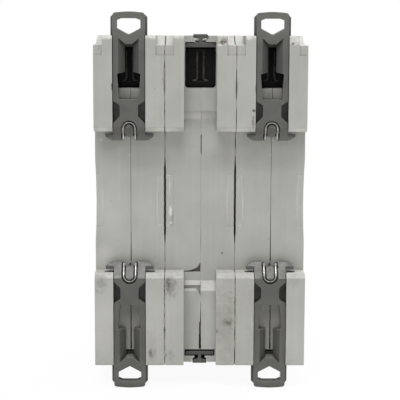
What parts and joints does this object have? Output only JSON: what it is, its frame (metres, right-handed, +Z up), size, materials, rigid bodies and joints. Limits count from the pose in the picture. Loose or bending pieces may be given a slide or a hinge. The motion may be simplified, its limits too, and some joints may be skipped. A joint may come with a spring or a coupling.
{
  "type": "modular circuit breaker",
  "caption": "Rail-mounted modular circuit breaker with ganged poles, sliding rail clips at top and bottom, screw terminals and a tied toggle handle.",
  "frame": {"origin": "middle of the seat that rests on the front of the mounting rail", "axes": "+X across the poles, +Y back towards the rail, +Z up"},
  "size_m": [0.0532, 0.0677, 0.0952],
  "materials": {
    "case_plastic": "warm light grey moulding, fine matt texture",
    "clip_plastic": "dark grey moulding, satin",
    "vent_plastic": "black moulding",
    "handle_plastic": "black, lightly polished",
    "spring_steel": "bright drawn wire",
    "zinc_steel": "zinc plated",
    "copper": "bare copper",
    "bimetal": "bare strip",
    "trip_plastic": "dark red moulding"
  },
  "bodies": {
    "case": {"case_left_1": "case_plastic", "case_right_1": "case_plastic", "arc_vent_1": "vent_plastic", "arc_chute_1": "zinc_steel", "fixed_contact_1": "copper", "bimetal_1": "bimetal", "trip_coil_1": "copper", "case_left_2": "case_plastic", "case_right_2": "case_plastic", "arc_vent_2": "vent_plastic", "arc_chute_2": "zinc_steel", "fixed_contact_2": "copper", "bimetal_2": "bimetal", "trip_coil_2": "copper", "case_left_3": "case_plastic", "case_right_3": "case_plastic", "arc_vent_3": "vent_plastic", "arc_chute_3": "zinc_steel", "fixed_contact_3": "copper", "bimetal_3": "bimetal", "trip_coil_3": "copper", "rivet_upper": "zinc_steel", "rivet_lower": "zinc_steel"},
    "handle": {"toggle_1": "handle_plastic", "toggle_2": "handle_plastic", "toggle_3": "handle_plastic", "handle_tie": "handle_plastic"},
    "contact_arm_1": {"contact_arm_1": "copper"},
    "contact_arm_2": {"contact_arm_2": "copper"},
    "contact_arm_3": {"contact_arm_3": "copper"},
    "trip_bar": {"trip_bar": "trip_plastic"},
    "trip_plunger_1": {"trip_plunger_1": "zinc_steel"},
    "trip_plunger_2": {"trip_plunger_2": "zinc_steel"},
    "trip_plunger_3": {"trip_plunger_3": "zinc_steel"},
    "rail_clip_top_1": {"rail_clip_top_1": "clip_plastic", "clip_spring_top_1": "spring_steel"},
    "rail_clip_bottom_1": {"rail_clip_bottom_1": "clip_plastic", "clip_spring_bottom_1": "spring_steel"},
    "rail_clip_top_3": {"rail_clip_top_3": "clip_plastic", "clip_spring_top_3": "spring_steel"},
    "rail_clip_bottom_3": {"rail_clip_bottom_3": "clip_plastic", "clip_spring_bottom_3": "spring_steel"},
    "terminal_screw_top_1": {"terminal_screw_top_1": "zinc_steel"},
    "terminal_clamp_top_1": {"terminal_cage_top_1": "zinc_steel", "terminal_shutter_top_1": "clip_plastic"},
    "terminal_screw_bottom_1": {"terminal_screw_bottom_1": "zinc_steel"},
    "terminal_clamp_bottom_1": {"terminal_cage_bottom_1": "zinc_steel", "terminal_shutter_bottom_1": "clip_plastic"},
    "terminal_screw_top_2": {"terminal_screw_top_2": "zinc_steel"},
    "terminal_clamp_top_2": {"terminal_cage_top_2": "zinc_steel", "terminal_shutter_top_2": "clip_plastic"},
    "terminal_screw_bottom_2": {"terminal_screw_bottom_2": "zinc_steel"},
    "terminal_clamp_bottom_2": {"terminal_cage_bottom_2": "zinc_steel", "terminal_shutter_bottom_2": "clip_plastic"},
    "terminal_screw_top_3": {"terminal_screw_top_3": "zinc_steel"},
    "terminal_clamp_top_3": {"terminal_cage_top_3": "zinc_steel", "terminal_shutter_top_3": "clip_plastic"},
    "terminal_screw_bottom_3": {"terminal_screw_bottom_3": "zinc_steel"},
    "terminal_clamp_bottom_3": {"terminal_cage_bottom_3": "zinc_steel", "terminal_shutter_bottom_3": "clip_plastic"}
  },
  "joints": [
    {"name": "handle_swing", "type": "hinge", "parent": "case", "child": "handle", "pos_m": [0, -0.044, 0], "axis": [-1, 0, 0], "range_deg": [0, 70]},
    {"name": "contact_arm_1_swing", "type": "hinge", "parent": "case", "child": "contact_arm_1", "pos_m": [-0.0178, -0.031, -0.004], "axis": [-1, 0, 0], "range_deg": [0, 16.5]},
    {"name": "contact_arm_2_swing", "type": "hinge", "parent": "case", "child": "contact_arm_2", "pos_m": [0, -0.031, -0.004], "axis": [-1, 0, 0], "range_deg": [0, 16.5]},
    {"name": "contact_arm_3_swing", "type": "hinge", "parent": "case", "child": "contact_arm_3", "pos_m": [0.0178, -0.031, -0.004], "axis": [-1, 0, 0], "range_deg": [0, 16.5]},
    {"name": "trip_bar_turn", "type": "hinge", "parent": "case", "child": "trip_bar", "pos_m": [0, -0.0338, -0.0155], "axis": [1, 0, 0], "range_deg": [0, 10], "stiffness_Nm_per_rad": 0.01},
    {"name": "trip_plunger_1_slide", "type": "slide", "parent": "case", "child": "trip_plunger_1", "axis": [0, -1, 0], "range_m": [0, 0.003], "stiffness_N_per_m": 60},
    {"name": "trip_plunger_2_slide", "type": "slide", "parent": "case", "child": "trip_plunger_2", "axis": [0, -1, 0], "range_m": [0, 0.003], "stiffness_N_per_m": 60},
    {"name": "trip_plunger_3_slide", "type": "slide", "parent": "case", "child": "trip_plunger_3", "axis": [0, -1, 0], "range_m": [0, 0.003], "stiffness_N_per_m": 60},
    {"name": "rail_clip_top_1_slide", "type": "slide", "parent": "case", "child": "rail_clip_top_1", "axis": [0, 0, 1], "range_m": [0, 0.003]},
    {"name": "rail_clip_bottom_1_slide", "type": "slide", "parent": "case", "child": "rail_clip_bottom_1", "axis": [0, 0, -1], "range_m": [0, 0.003]},
    {"name": "rail_clip_top_3_slide", "type": "slide", "parent": "case", "child": "rail_clip_top_3", "axis": [0, 0, 1], "range_m": [0, 0.003]},
    {"name": "rail_clip_bottom_3_slide", "type": "slide", "parent": "case", "child": "rail_clip_bottom_3", "axis": [0, 0, -1], "range_m": [0, 0.003]},
    {"name": "terminal_screw_top_1_turn", "type": "hinge", "parent": "case", "child": "terminal_screw_top_1", "pos_m": [-0.0178, -0.04, 0.0335], "axis": [0, 1, 0], "range_deg": [0, 1800]},
    {"name": "terminal_clamp_top_1_slide", "type": "slide", "parent": "case", "child": "terminal_clamp_top_1", "axis": [0, -1, 0], "range_m": [0, 0.004]},
    {"name": "terminal_screw_bottom_1_turn", "type": "hinge", "parent": "case", "child": "terminal_screw_bottom_1", "pos_m": [-0.0178, -0.04, -0.0335], "axis": [0, 1, 0], "range_deg": [0, 1800]},
    {"name": "terminal_clamp_bottom_1_slide", "type": "slide", "parent": "case", "child": "terminal_clamp_bottom_1", "axis": [0, -1, 0], "range_m": [0, 0.004]},
    {"name": "terminal_screw_top_2_turn", "type": "hinge", "parent": "case", "child": "terminal_screw_top_2", "pos_m": [0, -0.04, 0.0335], "axis": [0, 1, 0], "range_deg": [0, 1800]},
    {"name": "terminal_clamp_top_2_slide", "type": "slide", "parent": "case", "child": "terminal_clamp_top_2", "axis": [0, -1, 0], "range_m": [0, 0.004]},
    {"name": "terminal_screw_bottom_2_turn", "type": "hinge", "parent": "case", "child": "terminal_screw_bottom_2", "pos_m": [0, -0.04, -0.0335], "axis": [0, 1, 0], "range_deg": [0, 1800]},
    {"name": "terminal_clamp_bottom_2_slide", "type": "slide", "parent": "case", "child": "terminal_clamp_bottom_2", "axis": [0, -1, 0], "range_m": [0, 0.004]},
    {"name": "terminal_screw_top_3_turn", "type": "hinge", "parent": "case", "child": "terminal_screw_top_3", "pos_m": [0.0178, -0.04, 0.0335], "axis": [0, 1, 0], "range_deg": [0, 1800]},
    {"name": "terminal_clamp_top_3_slide", "type": "slide", "parent": "case", "child": "terminal_clamp_top_3", "axis": [0, -1, 0], "range_m": [0, 0.004]},
    {"name": "terminal_screw_bottom_3_turn", "type": "hinge", "parent": "case", "child": "terminal_screw_bottom_3", "pos_m": [0.0178, -0.04, -0.0335], "axis": [0, 1, 0], "range_deg": [0, 1800]},
    {"name": "terminal_clamp_bottom_3_slide", "type": "slide", "parent": "case", "child": "terminal_clamp_bottom_3", "axis": [0, -1, 0], "range_m": [0, 0.004]}
  ],
  "couplings": [
    {"joint": "contact_arm_1_swing", "follows": "handle_swing", "ratio": 0.2285},
    {"joint": "contact_arm_2_swing", "follows": "handle_swing", "ratio": 0.2285},
    {"joint": "contact_arm_3_swing", "follows": "handle_swing", "ratio": 0.2285},
    {"joint": "terminal_screw_top_1_turn", "follows": "terminal_clamp_top_1_slide", "rad_per_m": 7853.9},
    {"joint": "terminal_screw_bottom_1_turn", "follows": "terminal_clamp_bottom_1_slide", "rad_per_m": 7853.9},
    {"joint": "terminal_screw_top_2_turn", "follows": "terminal_clamp_top_2_slide", "rad_per_m": 7853.9},
    {"joint": "terminal_screw_bottom_2_turn", "follows": "terminal_clamp_bottom_2_slide", "rad_per_m": 7853.9},
    {"joint": "terminal_screw_top_3_turn", "follows": "terminal_clamp_top_3_slide", "rad_per_m": 7853.9},
    {"joint": "terminal_screw_bottom_3_turn", "follows": "terminal_clamp_bottom_3_slide", "rad_per_m": 7853.9}
  ]
}
